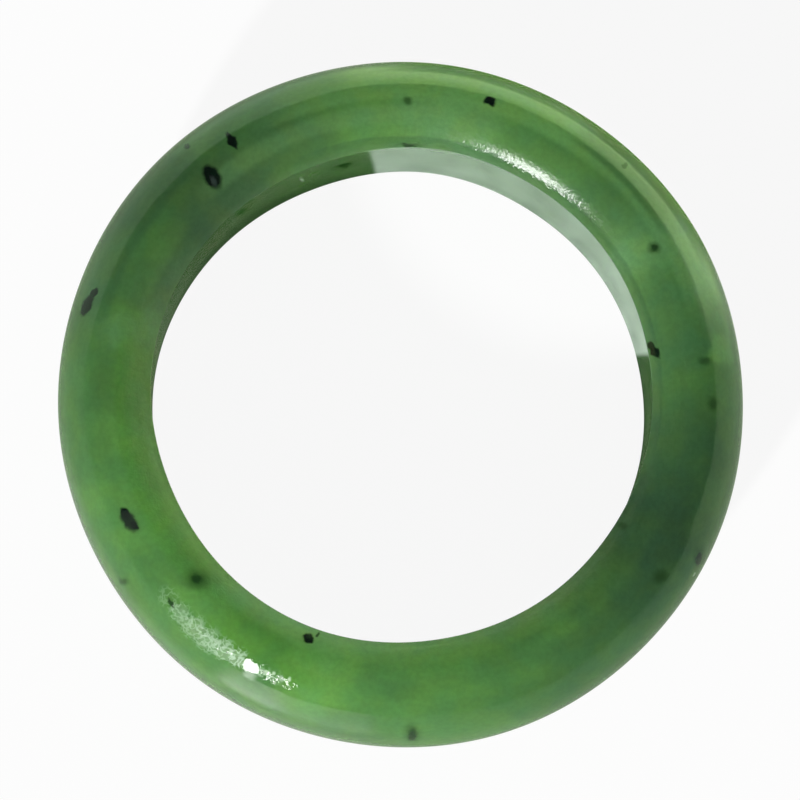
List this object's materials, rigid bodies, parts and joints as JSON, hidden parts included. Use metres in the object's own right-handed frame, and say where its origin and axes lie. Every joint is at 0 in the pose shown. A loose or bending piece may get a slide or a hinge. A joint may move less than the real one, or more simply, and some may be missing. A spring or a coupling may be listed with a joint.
{
  "type": "jade ring",
  "caption": "Plain one-piece finger ring of green jade: an oval-section band with a straight round bore and soft polished edges, lying on its side.",
  "frame": {"origin": "on the axis of the finger bore, in the plane that the ring rests on", "axes": "+Z along the axis of the finger bore, upwards as the ring lies on its side; the ring is round about +Z, so +X and +Y are free"},
  "size_m": [0.025, 0.025, 0.0068],
  "materials": {
    "jade": "polished, slightly translucent green with black mineral grains"
  },
  "bodies": {
    "root": {"jade_band": "jade"}
  },
  "joints": []
}
